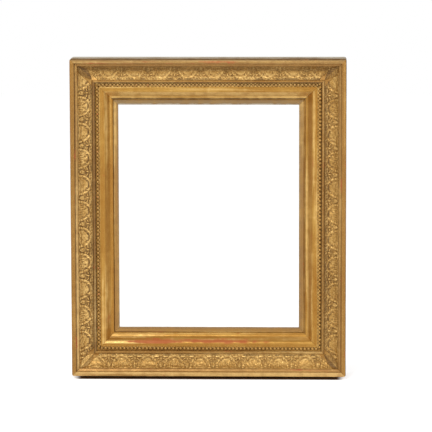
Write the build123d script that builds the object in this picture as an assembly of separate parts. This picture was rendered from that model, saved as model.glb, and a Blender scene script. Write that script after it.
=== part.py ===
from build123d import *
import math
import os

# Gilded picture frame with a cove of moulded palmettes and a string of beads, empty, in millimetres.
# X runs to the right seen from the front, Y to the back, Z up.
# The origin is the middle of the face that the frame stands on.
# Every side is drawn lying down: x along the side, y inward from the outer edge, z forward from the back.

# Opening and rebate
sight_width = 359.0
sight_height = 447.5
rebate_lip = 11.3
rebate_depth = 14.0

# Sight moulding, from the sight edge outward
sight_edge_thickness = 6.0
sight_slope = 1.5
sight_band_width = 9.3
groove_width = 1.5
groove_depth = 1.5
ridge_width = 1.5
ridge_rise = 1.0
ogee_run = 19.1
ogee_drop = 15.0
ogee_angle = 52.0
shoulder_width = 5.5
bead_bed_width = 8.0
bead_bed_drop = 1.5

# Outer moulding, from the bead bed outward
inner_fillet_width = 5.1
inner_fillet_rise = 4.0
cove_below_fillet = 4.0
cove_rise_run = 10.0
cove_radius = 19.5
cove_depth = 21.5
cove_lip = 1.0
band_width = 5.0
band_slope = 3.0
edge_step = 3.5
edge_step_run = 1.0
edge_width = 8.9
arris_radius = 3.0
corner_radius = 4.5

# Moulded ornament
palmette_pitch = 52.3
palmette_shift = {"bottom": 35.0, "right": 8.0, "top": -12.0, "left": -13.5}
strip_base = 1.0
strip_margin = 0.8
arch_half_width = 16.6
arch_rise = 15.6
arch_foot = 6.5
rim_relief = 2.3
bud_relief = 2.2
border_start = 27.6
border_relief = 0.9
leaf_thickness = 2.6
leaf_half_width = 7.0
leaf_clearance = 1.0
bead_pitch = 7.5
bead_width = 6.4
bead_height = 4.6
thread_width = 2.0
bead_flat = 0.42
mitre_gap = 0.2

# Nails, let into holes of their own size
nail_side = 1.8
nail_tip_side = 0.9
nail_head_side = 4.6
nail_head_thickness = 0.8
lap_nail_length = 13.0
moulding_nail_length = 24.0

# Turn buttons that hold a picture in the rebate, and their screws
button_thickness = 1.6
button_width = 10.0
button_reach = 19.0
button_inset = 10.5
button_spacing = 276.0
button_gap = 0.15
screw_radius = 1.75
screw_depth = 10.0
screw_head_radius = 3.4
screw_head_height = 2.2
slot_width = 0.9
slot_depth = 1.1
pivot_clearance = 0.08

# Screw eye and hanging ring
eye_wire_radius = 1.3
ring_wire_radius = 1.25
ring_play = 0.35
ring_radius = 13.0
eye_stand = 6.2
eye_depth = 11.0

# Heights of the profile above the back, built up from the rebate
sight_edge_height = rebate_depth + sight_edge_thickness
sight_band_height = sight_edge_height + sight_slope
ridge_height = sight_band_height + ridge_rise
shoulder_height = ridge_height + ogee_drop
bead_bed_height = shoulder_height - bead_bed_drop
inner_fillet_height = bead_bed_height + inner_fillet_rise
cove_floor_height = inner_fillet_height - cove_below_fillet
frame_depth = cove_floor_height + cove_depth
band_height = frame_depth - edge_step

# The cove is one arc from the foot of the band to the inner fillet
cove_centre_height = cove_floor_height + cove_radius
cove_start = edge_width + edge_step_run + band_width
cove_start_height = band_height - band_slope - cove_lip
cove_centre = cove_start + math.sqrt(cove_radius**2 - (cove_start_height - cove_centre_height) ** 2)
cove_end = cove_centre + cove_rise_run
cove_end_height = cove_centre_height - math.sqrt(cove_radius**2 - cove_rise_run**2)

# Widths that the profile adds up to
outer_moulding_width = cove_end + inner_fillet_width
bead_bed_end = outer_moulding_width + bead_bed_width
shoulder_end = bead_bed_end + shoulder_width
ridge_start = shoulder_end + ogee_run
groove_start = ridge_start + ridge_width
sight_band_start = groove_start + groove_width
rail_width = sight_band_start + sight_band_width
board_width = rail_width - rebate_lip
frame_width = sight_width + 2 * rail_width
frame_height = sight_height + 2 * rail_width
back_y = frame_depth / 2
bead_line = outer_moulding_width + bead_bed_width / 2
cut_margin = 1.0

# Each side's own plane, taken round the frame so that y always points inward and z to the front
to_front = (0, -1, 0)
side_planes = {
    "bottom": Plane((0, back_y, 0), x_dir=(1, 0, 0), z_dir=to_front),
    "right": Plane((frame_width / 2, back_y, frame_height / 2), x_dir=(0, 0, 1), z_dir=to_front),
    "top": Plane((0, back_y, frame_height), x_dir=(-1, 0, 0), z_dir=to_front),
    "left": Plane((-frame_width / 2, back_y, frame_height / 2), x_dir=(0, 0, -1), z_dir=to_front),
}
side_lengths = {"bottom": frame_width, "right": frame_height, "top": frame_width, "left": frame_height}
nail_stations = {frame_width: (-0.2, 0.2), frame_height: (-0.3, 0, 0.3)}


def mitre_block(length, set_back):
    """The room between the two 45 degree cuts of a side, each moved in along the side by set_back."""
    half = length / 2 - set_back
    reach = rail_width + cut_margin
    outline = Polyline(
        (-half - cut_margin, -cut_margin),
        (half + cut_margin, -cut_margin),
        (half - reach, reach),
        (reach - half, reach),
        close=True,
    )
    return Pos(0, 0, -cut_margin) * extrude(make_face(outline), amount=frame_depth + 2 * cut_margin)


def mitred_length(profile, length):
    """A straight moulding of the profile (inward, forward), mitred at both ends."""
    return extrude(Plane.YZ * profile, amount=length / 2, both=True) & mitre_block(length, 0)


def rounded_off(piece, length):
    """The piece of a side with the two outer corners of the frame worn round."""
    tall = 2 * (frame_depth + cut_margin)
    for end in (-1, 1):
        corner = Pos(end * length / 2, 0) * Box(2 * corner_radius, 2 * corner_radius, tall)
        corner -= Pos(end * (length / 2 - corner_radius), corner_radius) * Cylinder(corner_radius, tall)
        piece -= corner
    return piece


def outer_profile():
    """Front fillet with a rounded arris, step, band, cove and inner fillet."""
    arris = JernArc((0, frame_depth - arris_radius), (0, 1), arris_radius, -90)
    rim = Polyline(
        arris @ 1,
        (edge_width, frame_depth),
        (edge_width + edge_step_run, band_height),
        (cove_start, band_height - band_slope),
        (cove_start, cove_start_height),
    )
    cove = ThreePointArc(rim @ 1, (cove_centre, cove_floor_height), (cove_end, cove_end_height))
    foot = Polyline(
        cove @ 1,
        (cove_end, inner_fillet_height),
        (outer_moulding_width, inner_fillet_height),
        (outer_moulding_width, rebate_depth),
        (0, rebate_depth),
        arris @ 0,
    )
    return make_face([arris, *rim.edges(), cove, *foot.edges()])


def sight_profile():
    """Bead bed, shoulder, ogee of two equal arcs with a straight between, ridge, groove and sloping band."""
    slope = math.radians(ogee_angle)
    ogee_flat = ogee_drop / math.tan(slope / 2) - ogee_run
    ogee_radius = (ogee_run - ogee_flat * math.cos(slope)) / (2 * math.sin(slope))
    bed = Polyline(
        (outer_moulding_width, bead_bed_height),
        (bead_bed_end, bead_bed_height),
        (bead_bed_end, shoulder_height),
        (shoulder_end, shoulder_height),
    )
    round_arc = JernArc(bed @ 1, (1, 0), ogee_radius, -ogee_angle)
    straight = Line(round_arc @ 1, round_arc @ 1 + ogee_flat * (round_arc % 1))
    hollow_arc = JernArc(straight @ 1, (math.cos(slope), -math.sin(slope)), ogee_radius, ogee_angle)
    foot = Polyline(
        hollow_arc @ 1,
        (groove_start, ridge_height),
        (groove_start, sight_band_height - groove_depth),
        (sight_band_start, sight_band_height - groove_depth),
        (sight_band_start, sight_band_height),
        (rail_width, sight_edge_height),
        (rail_width, rebate_depth),
        (outer_moulding_width, rebate_depth),
        bed @ 0,
    )
    return make_face([*bed.edges(), round_arc, straight, hollow_arc, *foot.edges()])


def back_board(length, lap_in_front):
    """A flat board of the back frame, halved at both ends for the lap joint."""
    align = (Align.CENTER, Align.MIN, Align.MIN)
    board = Box(length, board_width, rebate_depth, align=align)
    lap_height = 0 if lap_in_front else rebate_depth / 2
    for end in (-1, 1):
        lap_middle = end * (length - board_width) / 2
        board -= Pos(lap_middle, 0, lap_height) * Box(board_width, board_width, rebate_depth / 2, align=align)
    return board


def cut_nail(length):
    """A square cut nail standing on its head, driven forward from the back."""
    tip = Pos(0, 0, length) * Rectangle(nail_tip_side, nail_tip_side)
    shank = loft([Rectangle(nail_side, nail_side), tip])
    head = Pos(0, 0, -nail_head_thickness / 2) * Box(nail_head_side, nail_head_side, nail_head_thickness)
    return shank + head


def moulding_nail_places(length):
    """Where nails go through a board into the middles of the two mouldings above it."""
    lines = (outer_moulding_width / 2, (outer_moulding_width + board_width) / 2)
    return [(station * length, line) for station in nail_stations[length] for line in lines]


def lap_nail_places(length):
    """Two nails in each lap, the same two whether counted along one board or the other."""
    near = board_width * 0.3
    far = board_width * 0.7
    places = []
    for end in (-1, 1):
        places.append((end * (length / 2 - near), far))
        places.append((end * (length / 2 - far), near))
    return places


def with_nail_holes(piece, length, places):
    """The piece with a hole for each nail of that length."""
    for along, inward in places:
        piece -= Pos(along, inward, 0) * cut_nail(length)
    return piece


def facet(*corners):
    """A flat face through the corners in order."""
    return Face(Wire.make_polygon(corners, close=True))


def palmette_cell():
    """One palmette with half a bud on each side: triangles over a cell one pitch long.
    A corner is its distance along from the middle, across from the strip's outer edge and its height.
    Rings follow the arch from its middle out: a ribbed field, then the inner foot, crest and outer foot
    of the rim. The cell's own outline carries the buds, and a leaf fills each inner corner."""
    sectors = 12
    edge = palmette_pitch / 2

    def ring(share, on_rib, off_rib):
        """Half an ellipse on two straight legs that run down to the strip's outer edge."""
        half_width = share * arch_half_width
        corners = [(half_width, 0, 0)]
        for step in range(sectors + 1):
            turn = math.pi * step / sectors
            across = arch_foot + share * arch_rise * math.sin(turn)
            corners.append((half_width * math.cos(turn), across, off_rib if step % 2 else on_rib))
        return corners + [(-half_width, 0, 0)]

    bud = ((0, 0), (6.5, 0.8), (10.5, 1.0), (15.0, 0.85), (19.5, 0.15), (24.0, 0.95))
    side = [(edge, across, share * bud_relief) for across, share in bud]
    inner = [(7.0, border_start, 0.2), (0.0, border_start, 0.2), (-7.0, border_start, 0.2)]
    outline = side + inner + [(-along, across, height) for along, across, height in reversed(side)]
    rings = [
        ring(0, 1.0, 1.0),
        ring(0.45, 1.3, 0.8),
        ring(0.8, 1.3, 0.4),
        ring(1.0, 0.5, 0.3),
        ring(1.14, rim_relief, rim_relief),
        ring(1.3, 0.2, 0.2),
        outline,
    ]
    triangles = []
    for near, far in zip(rings, rings[1:]):
        for step in range(sectors + 2):
            loop = [near[step], far[step], far[step + 1], near[step + 1]]
            if far is outline and far[step][1] != border_start and far[step + 1][1] == border_start:
                loop.insert(2, (edge, border_start, 0.2))
            elif far is outline and far[step][1] == border_start and far[step + 1][1] != border_start:
                loop.insert(2, (-edge, border_start, 0.2))
            if len(loop) == 5:
                leaf = (math.copysign(17.5, loop[2][0]), 25.9, bud_relief)
                triangles += [(leaf, loop[turn - 1], loop[turn]) for turn in range(5)]
            elif loop[0] == loop[3]:
                triangles.append(tuple(loop[:3]))
            else:
                triangles.append((loop[0], loop[1], loop[2]))
                triangles.append((loop[0], loop[2], loop[3]))
    return triangles


def palmette_strip(length, shift):
    """One length of moulded ornament in the cove, a cell for each palmette and a flat border inside them,
    cut parallel to the mitres. Shift is how far the middle palmette stands from the middle of the side."""
    start_angle = math.atan2(cove_start_height - cove_centre_height, cove_start - cove_centre) % (2 * math.pi)
    end_angle = math.atan2(cove_end_height - cove_centre_height, cove_rise_run) % (2 * math.pi)
    strip_height = (end_angle - start_angle) * cove_radius - 2 * strip_margin
    cells = 2 * math.ceil(length / palmette_pitch / 2) + 1
    middles = [shift + (cell - (cells - 1) / 2) * palmette_pitch for cell in range(cells)]
    ends = (middles[0] - palmette_pitch / 2, middles[-1] + palmette_pitch / 2)

    def point(along, across, height):
        """A point at that height over the wood of the cove."""
        angle = start_angle + (strip_margin + across) / cove_radius
        radius = cove_radius - height
        inward = cove_centre + radius * math.cos(angle)
        return Vector(along, inward, cove_centre_height + radius * math.sin(angle))

    def face_of_strip(near, far):
        """A flat face along the whole strip between two lines, each given by across and height."""
        near_line = [point(end, *near) for end in ends]
        return facet(*near_line, *[point(end, *far) for end in reversed(ends)])

    triangles = palmette_cell()
    corners = {corner for triangle in triangles for corner in triangle}

    def line_across(across):
        """The corners of every cell on one straight line along the strip."""
        on_line = sorted(corner for corner in corners if corner[1] == across)
        run = [(middle + along, height) for middle in middles for along, _, height in on_line[:-1]]
        run.append((middles[-1] + on_line[-1][0], on_line[-1][2]))
        return [point(along, across, strip_base + height) for along, height in run]

    facets = []
    for middle in middles:
        for triangle in triangles:
            placed = [(middle + along, across, strip_base + height) for along, across, height in triangle]
            facets.append(facet(*[point(*place) for place in placed]))
    border = [
        (border_start + 1.4, strip_base + border_relief),
        (strip_height - 1.6, strip_base + border_relief),
        (strip_height, strip_base + border_relief / 2),
        (strip_height, 0),
    ]
    back = [(strip_height * row / 8, 0) for row in range(8, -1, -1)]
    facets.append(facet(*line_across(border_start), *[point(end, *border[0]) for end in reversed(ends)]))
    facets.append(facet(*line_across(0), *[point(end, 0, 0) for end in reversed(ends)]))
    for near, far in [*zip(border, border[1:]), *zip(back, back[1:])]:
        facets.append(face_of_strip(near, far))
    at_end = sorted(corner[1:] for corner in corners if corner[0] == palmette_pitch / 2)
    outline = [(across, strip_base + height) for across, height in at_end]
    for end in ends:
        facets.append(facet(*[point(end, *place) for place in outline + border[:-1] + back]))
    leaf_room = leaf_half_width * math.sqrt(2) + leaf_clearance
    return Solid(Shell(facets)) & mitre_block(length, leaf_room)


def corner_leaf():
    """The plain leaf laid over the mitre of the cove at the lower left, folded on the mitre."""
    inner_radius = cove_radius - leaf_thickness
    ring = Circle(cove_radius) - Circle(inner_radius)
    low_half = Pos(0, (cove_start_height - cove_centre_height) * 0.999) * Rectangle(
        2 * cove_radius, 2 * cove_radius, align=(Align.CENTER, Align.MAX)
    )
    inside = Rectangle(2 * cove_radius, 4 * cove_radius, align=(Align.MAX, Align.CENTER))
    layer = Pos(cove_centre, cove_centre_height) * (ring & low_half & (Pos(cove_rise_run, 0) * inside))
    skin = None
    for side in ("bottom", "left"):
        half = side_planes[side].location * mitred_length(layer, side_lengths[side])
        skin = half if skin is None else skin + half
    middle = (cove_start + cove_end) / 2
    reach = (cove_end - cove_start) / 2 - strip_margin
    swell = leaf_half_width / math.sqrt(2)
    low_tip = (middle - reach, middle - reach)
    high_tip = (middle + reach, middle + reach)
    outline = [
        ThreePointArc(low_tip, (middle - swell, middle + swell), high_tip),
        ThreePointArc(high_tip, (middle + swell, middle - swell), low_tip),
    ]
    corner = Plane((-frame_width / 2, back_y, 0), x_dir=(1, 0, 0), z_dir=to_front)
    return skin & (corner.location * extrude(make_face(outline), amount=frame_depth))


def bead_string(length):
    """A string of beads on its thread: flat facets between three sections for each bead."""
    half_run = length / 2 - bead_line - thread_width / 2 - mitre_gap
    count = round(2 * half_run / bead_pitch)
    pitch = 2 * half_run / count

    def section(along, width):
        """Half a hexagon standing on the bead bed."""
        height = bead_height * width / bead_width
        corners = []
        for degrees in (0, 60, 120, 180):
            turn = math.radians(degrees)
            across = bead_line - width / 2 * math.cos(turn)
            corners.append(Vector(along, across, bead_bed_height + height * math.sin(turn)))
        return corners

    sections = [section(-half_run, thread_width)]
    for bead in range(count):
        middle = (bead + 0.5) * pitch - half_run
        sections.append(section(middle - bead_width / 2 * bead_flat, bead_width))
        sections.append(section(middle + bead_width / 2 * bead_flat, bead_width))
        sections.append(section(middle + pitch / 2, thread_width))
    facets = [facet(*sections[0]), facet(*sections[-1])]
    for near, far in zip(sections, sections[1:]):
        for corner in range(4):
            following = (corner + 1) % 4
            facets.append(facet(near[corner], near[following], far[following], far[corner]))
    return Solid(Shell(facets))


def button_screw():
    """Round-headed slotted screw, its axis along z, entering the wood at z = 0."""
    under_head = -(button_thickness + 2 * button_gap)
    shank = Pos(0, 0, under_head) * Cylinder(
        screw_radius, screw_depth - under_head, align=(Align.CENTER, Align.CENTER, Align.MIN)
    )
    dome_radius = (screw_head_radius**2 + screw_head_height**2) / (2 * screw_head_height)
    dome = Pos(0, 0, under_head - screw_head_height + dome_radius) * Sphere(dome_radius)
    head_room = Box(
        2 * dome_radius, 2 * dome_radius, 2 * dome_radius, align=(Align.CENTER, Align.CENTER, Align.MAX)
    )
    slot = Pos(0, 0, under_head - screw_head_height) * Box(2 * dome_radius, slot_width, 2 * slot_depth)
    return (dome & (Pos(0, 0, under_head) * head_room)) + shank - slot


def turn_button(tip_direction):
    """A flat button with round ends, parked along the board with its tip towards tip_direction."""
    plate = Pos(tip_direction * button_reach / 2, 0) * SlotCenterToCenter(button_reach, button_width)
    plate -= Circle(screw_radius + pivot_clearance)
    return Pos(0, 0, -button_gap) * extrude(plate, amount=-button_thickness)


# Back frame, mouldings and nails, made once for each length of side
boards = {}
outer_mouldings = {}
sight_mouldings = {}
for length, lap_in_front in ((frame_width, True), (frame_height, False)):
    moulding_places = moulding_nail_places(length)
    board = rounded_off(back_board(length, lap_in_front), length)
    board = with_nail_holes(board, moulding_nail_length, moulding_places)
    boards[length] = with_nail_holes(board, lap_nail_length, lap_nail_places(length))
    outer_moulding = rounded_off(mitred_length(outer_profile(), length), length)
    outer_mouldings[length] = with_nail_holes(outer_moulding, moulding_nail_length, moulding_places[0::2])
    sight_mouldings[length] = with_nail_holes(
        mitred_length(sight_profile(), length), moulding_nail_length, moulding_places[1::2]
    )
strings = {length: bead_string(length) for length in (frame_width, frame_height)}

pieces = {}
moulding_nails = []
for side, plane in side_planes.items():
    length = side_lengths[side]
    board_name = "back_rail" if side in ("top", "bottom") else "back_stile"
    pieces[f"{board_name}_{side}"] = plane.location * boards[length]
    pieces[f"outer_moulding_{side}"] = plane.location * outer_mouldings[length]
    pieces[f"sight_moulding_{side}"] = plane.location * sight_mouldings[length]
    pieces[f"palmette_strip_{side}"] = plane.location * palmette_strip(length, palmette_shift[side])
    pieces[f"bead_string_{side}"] = plane.location * strings[length]
    for along, inward in moulding_nail_places(length):
        moulding_nails.append(plane.location * (Pos(along, inward, 0) * cut_nail(moulding_nail_length)))
lap_nails = []
for side in ("top", "bottom"):
    for along, inward in lap_nail_places(frame_width):
        lap_nails.append(side_planes[side].location * (Pos(along, inward, 0) * cut_nail(lap_nail_length)))
pieces["moulding_nails"] = Compound(children=moulding_nails)
pieces["lap_nails"] = Compound(children=lap_nails)

# Corner leaves, mirrored from the lower left one
leaf = corner_leaf()
mid_height = Plane((0, 0, frame_height / 2), z_dir=(0, 0, 1))
pieces["corner_leaf_bottom_left"] = leaf
pieces["corner_leaf_bottom_right"] = mirror(leaf, about=Plane.YZ)
pieces["corner_leaf_top_left"] = mirror(leaf, about=mid_height)
pieces["corner_leaf_top_right"] = mirror(mirror(leaf, about=Plane.YZ), about=mid_height)

# Turn buttons on both stiles, parked with their tips down
button_line = board_width - button_inset
button_screws = []
for side, up in (("left", -1), ("right", 1)):
    plane = side_planes[side]
    for level, rise in (("upper", button_spacing / 2), ("lower", -button_spacing / 2)):
        place = Pos(up * rise, button_line, 0)
        screw = plane.location * (place * button_screw())
        pieces[f"turn_button_{level}_{side}"] = plane.location * (place * turn_button(-up))
        pieces[f"back_stile_{side}"] -= screw
        button_screws.append(screw)
pieces["turn_button_screws"] = Compound(children=button_screws)

# Screw eye in the middle of the top rail, with its ring hanging from it
eye_place = side_planes["top"].location * Pos(0, board_width / 2, -eye_stand)
eye_radius = ring_wire_radius + ring_play + eye_wire_radius
eye_shank = Pos(0, 0, eye_radius) * Cylinder(
    eye_wire_radius, eye_stand - eye_radius + eye_depth, align=(Align.CENTER, Align.CENTER, Align.MIN)
)
screw_eye = eye_place * (Rot(0, 90, 0) * Torus(eye_radius, eye_wire_radius) + eye_shank)
pieces["screw_eye"] = screw_eye
pieces["back_rail_top"] -= screw_eye
pieces["hanging_ring"] = eye_place * (Pos(0, ring_radius, 0) * Torus(ring_radius, ring_wire_radius))

os.makedirs("parts", exist_ok=True)
for name, piece in pieces.items():
    export_step(piece, f"parts/{name}.step")
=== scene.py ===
"""A gilded picture frame: cove of moulded palmettes, corner leaves, string of beads, ogee and sight band.

Sizes are millimetres until a mesh is made. Each side has its own directions: along it, inward from its
outer edge to the opening, and forward from the back of the frame to the viewer.
"""

import math

import bpy
import numpy as np
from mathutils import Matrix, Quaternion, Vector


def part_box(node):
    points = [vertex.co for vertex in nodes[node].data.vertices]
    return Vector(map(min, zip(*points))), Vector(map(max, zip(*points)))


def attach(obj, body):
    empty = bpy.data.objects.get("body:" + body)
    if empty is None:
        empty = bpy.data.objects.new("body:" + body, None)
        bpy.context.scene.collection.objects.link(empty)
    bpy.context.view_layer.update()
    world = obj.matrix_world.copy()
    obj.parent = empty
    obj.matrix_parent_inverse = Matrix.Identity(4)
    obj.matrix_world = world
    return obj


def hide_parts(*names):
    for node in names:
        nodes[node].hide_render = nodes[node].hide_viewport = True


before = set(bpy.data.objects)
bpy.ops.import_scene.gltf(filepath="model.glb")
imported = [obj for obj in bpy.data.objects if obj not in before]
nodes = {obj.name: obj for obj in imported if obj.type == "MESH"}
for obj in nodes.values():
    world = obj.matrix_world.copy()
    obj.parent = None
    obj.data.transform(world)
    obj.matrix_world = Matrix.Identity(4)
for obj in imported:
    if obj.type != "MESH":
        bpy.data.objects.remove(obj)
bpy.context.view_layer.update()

# Back frame: four flat pine boards halved together at the corners, glued and nailed.
# They were sawn, roughly planed and left bare, and have darkened with age and dust.


def colour(red, green, blue):
    """Linear colour with alpha from display values of 0 to 255."""
    display = np.array((red, green, blue)) / 255
    linear = np.where(display <= 0.04045, display / 12.92, ((display + 0.055) / 1.055) ** 2.4)
    return (*linear.tolist(), 1.0)


class Finish:
    """A material and short ways to add nodes to it. A node's inputs are set or linked by their names."""

    def __init__(self, name):
        self.material = bpy.data.materials.new(name)
        self.material.use_nodes = True
        self.tree = self.material.node_tree
        self.shader = self.tree.nodes["Principled BSDF"]

    def feed(self, node, socket, value):
        """An input linked to another node's output, or set to a plain value."""
        if isinstance(value, bpy.types.NodeSocket):
            self.tree.links.new(value, node.inputs[socket])
        else:
            node.inputs[socket].default_value = value

    def node(self, kind, settings=None, **inputs):
        node = self.tree.nodes.new(kind)
        for key, value in (settings or {}).items():
            setattr(node, key, value)
        for socket, value in inputs.items():
            self.feed(node, socket.replace("_", " "), value)
        return node

    def place(self, stretch=(1, 1, 1)):
        """Object coordinates in metres, stretched to lengthen a pattern along an axis."""
        coordinates = self.node("ShaderNodeTexCoord").outputs["Object"]
        return self.node("ShaderNodeMapping", Vector=coordinates, Scale=stretch).outputs["Vector"]

    def noise(self, scale, detail=3.0, stretch=(1, 1, 1)):
        vector = self.place(stretch)
        return self.node("ShaderNodeTexNoise", Vector=vector, Scale=scale, Detail=detail).outputs["Fac"]

    def attribute(self, name):
        return self.node("ShaderNodeAttribute", {"attribute_name": name}).outputs["Fac"]

    def math(self, operation, first, second):
        node = self.node("ShaderNodeMath", {"operation": operation})
        self.feed(node, 0, first)
        self.feed(node, 1, second)
        return node.outputs[0]

    def span(self, value, low, high, to_low=0.0, to_high=1.0):
        """Value carried from low..high to to_low..to_high, held at the ends."""
        node = self.node("ShaderNodeMapRange", {"interpolation_type": "SMOOTHSTEP"}, Value=value)
        for socket, number in zip(("From Min", "From Max", "To Min", "To Max"), (low, high, to_low, to_high)):
            self.feed(node, socket, number)
        return node.outputs["Result"]

    def mix(self, share, first, second):
        """The first colour at share 0 and the second at share 1."""
        node = self.node("ShaderNodeMix", {"data_type": "RGBA"})
        self.feed(node, 0, share)
        self.feed(node, 6, first)
        self.feed(node, 7, second)
        return node.outputs[2]

    def bump(self, height, strength, depth):
        node = self.node("ShaderNodeBump", Height=height, Strength=strength, Distance=depth)
        return node.outputs["Normal"]

    def finish(self, **inputs):
        for socket, value in inputs.items():
            self.feed(self.shader, socket.replace("_", " "), value)
        return self.material


boards_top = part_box("back_rail_top")[1].z
dust_low, dust_high = boards_top - 0.0012, boards_top - 0.0002
thick_dust = colour(198, 187, 166)
along_grain, across_grain = 1.2, 9


def coat(obj, material):
    """The material on every face of a carried-over solid."""
    obj.data.materials.clear()
    obj.data.materials.append(material)


def bare_pine(name, stretch):
    """Bare wood: grain is noise drawn out along the board, with darker late wood, patches of grey dust and
    thick dust on the edge that faces up."""
    grain_scale, fine_scale, patch_scale = 5.0, 26.0, 7.0
    early_wood, late_wood, dark_line = colour(150, 112, 72), colour(104, 70, 40), colour(78, 50, 28)
    grey_dust = colour(124, 106, 86)
    pine = Finish(name)
    grain = pine.noise(grain_scale, 6.0, stretch)
    fine = pine.noise(fine_scale, 4.0, stretch)
    patches = pine.noise(patch_scale, 4.0)
    body = pine.mix(pine.span(grain, 0.35, 0.68), early_wood, late_wood)
    body = pine.mix(pine.span(fine, 0.52, 0.75, 0, 0.55), body, dark_line)
    body = pine.mix(pine.span(patches, 0.45, 0.8, 0, 0.5), body, grey_dust)
    height = pine.node("ShaderNodeSeparateXYZ", Vector=pine.place()).outputs["Z"]
    body = pine.mix(pine.span(height, dust_low, dust_high, 0, 0.9), body, thick_dust)
    relief = pine.math("ADD", grain, pine.math("MULTIPLY", fine, 0.6))
    return pine.finish(
        Base_Color=body,
        Roughness=pine.span(patches, 0.3, 0.7, 0.62, 0.85),
        Normal=pine.bump(relief, 0.35, 0.0012),
    )


pine_rail = bare_pine("bare_pine_rail", (along_grain, across_grain, across_grain))
pine_stile = bare_pine("bare_pine_stile", (across_grain, across_grain, along_grain))
for name in ("back_rail_top", "back_rail_bottom"):
    coat(nodes[name], pine_rail)
for name in ("back_stile_left", "back_stile_right"):
    coat(nodes[name], pine_stile)

# Outer mouldings: four lengths of pine planed to a flat front edge, a band and a deep cove, mitred and glued.
# Coats of gesso round every arris; over them lie red bole and gold leaf, rubbed through on the edges.
# The outer sides are only painted with dark bole, and dust has settled on the one that faces up.
MM = 0.001
low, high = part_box("back_stile_right")
frame_width = 2 * high.x / MM
frame_height = high.z / MM
back_y = high.y / MM
rebate_depth = (high.y - low.y) / MM
frame_depth = (high.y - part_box("outer_moulding_top")[0].y) / MM
outer_width = (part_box("outer_moulding_bottom")[1].z) / MM

edge_width = 8.9
arris_radius = 3.0
corner_radius = 4.5
edge_step = 3.5
edge_step_run = 1.0
band_width = 5.0
band_slope = 3.0
cove_lip = 1.0
cove_radius = 19.5
cove_depth = 21.5
cove_rise_run = 10.0
inner_fillet_rise = 4.0

side_axes = {
    "bottom": ((0, back_y, 0), (1, 0, 0), (0, 0, 1)),
    "right": ((frame_width / 2, back_y, frame_height / 2), (0, 0, 1), (-1, 0, 0)),
    "top": ((0, back_y, frame_height), (-1, 0, 0), (0, 0, -1)),
    "left": ((-frame_width / 2, back_y, frame_height / 2), (0, 0, -1), (1, 0, 0)),
}
side_length = {"bottom": frame_width, "right": frame_height, "top": frame_width, "left": frame_height}
side_seed = {"bottom": 11, "right": 23, "top": 37, "left": 51}


def on_side(side, along, inward, forward):
    """Points in metres from distances along, inward and forward on that side."""
    origin, along_axis, inward_axis = (np.array(axis, float) for axis in side_axes[side])
    forward_axis = np.array((0.0, -1.0, 0.0))
    steps = zip((along, inward, forward), (along_axis, inward_axis, forward_axis))
    return (origin + sum(distance[..., None] * axis for distance, axis in steps)) * MM


def worn_round(points):
    """Points with the frame's outer corners rounded: what lies past a corner's circle moves onto it."""
    middle = np.array((0, frame_height / 2)) * MM
    straight = np.array((frame_width, frame_height)) / 2 * MM - corner_radius * MM
    offset = points[..., [0, 2]] - middle
    past = np.clip(np.abs(offset) - straight, 0, None)
    reach = np.maximum(np.hypot(past[..., 0], past[..., 1]), 1e-9)[..., None]
    kept = np.minimum(np.abs(offset), straight) + past * np.minimum(1, corner_radius * MM / reach)
    rounded = points.copy()
    rounded[..., [0, 2]] = middle + np.sign(offset) * kept
    return rounded


def arc(centre, radius, start, stop, count=24):
    """Points on a circle from one angle to another, in degrees."""
    angle = np.radians(np.linspace(start, stop, count))
    return np.column_stack((centre[0] + radius * np.cos(angle), centre[1] + radius * np.sin(angle)))


def blurred(outline, spread):
    """A closed outline smoothed with a bell curve of that spread, counted in points."""
    frequency = np.fft.rfftfreq(len(outline))
    keep = np.exp(-2 * (np.pi * frequency * spread) ** 2)
    return np.fft.irfft(np.fft.rfft(outline, axis=0) * keep[:, None], len(outline), axis=0)


def gessoed(corners, step, soften):
    """A closed outline resampled in even steps, then smoothed as coats of gesso round its arrises."""
    loop = np.vstack((corners, corners[:1]))
    reach = np.concatenate(([0], np.cumsum(np.hypot(*np.diff(loop, axis=0).T))))
    even = np.linspace(0, reach[-1], int(reach[-1] / step), endpoint=False)
    outline = np.column_stack([np.interp(even, reach, loop[:, axis]) for axis in (0, 1)])
    return blurred(outline, soften / step)


def outward(outline):
    """Unit normals of a closed outline that runs clockwise."""
    tangent = np.roll(outline, -1, 0) - np.roll(outline, 1, 0)
    tangent /= np.hypot(*tangent.T)[:, None]
    return np.column_stack((-tangent[:, 1], tangent[:, 0]))


def roundness(outline, spread):
    """How far each point stands out of its smoothed surroundings: over 0 on an arris, under 0 in a groove."""
    return ((outline - blurred(outline, spread)) * outward(outline)).sum(1)


def ripple(position, longest, seed, waves=6):
    """A soft irregular wave of about -1 to 1: sines of falling length and random phase added up."""
    rng = np.random.default_rng(seed)
    total = np.zeros_like(position)
    for wave in range(waves):
        length = longest / 1.7**wave
        total += np.sin(2 * np.pi * (position / length + rng.random())) * 0.75**wave
    return total / 2.2


def gold_leaves(along, seed):
    """A shade for each square of leaf along a moulding, a little lighter where two squares lap."""
    leaf_size, lap_width, shades = 74, 0.03, 64
    leaf = along / leaf_size + 0.02 * np.sin(along / 9) + seed
    rng = np.random.default_rng(seed)
    shade = rng.random(shades)[np.floor(leaf).astype(int) % shades]
    lap = np.exp(-(((leaf - np.round(leaf)) / lap_width) ** 2))
    return np.clip(0.75 * shade + 0.5 * lap, 0, 1)


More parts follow.
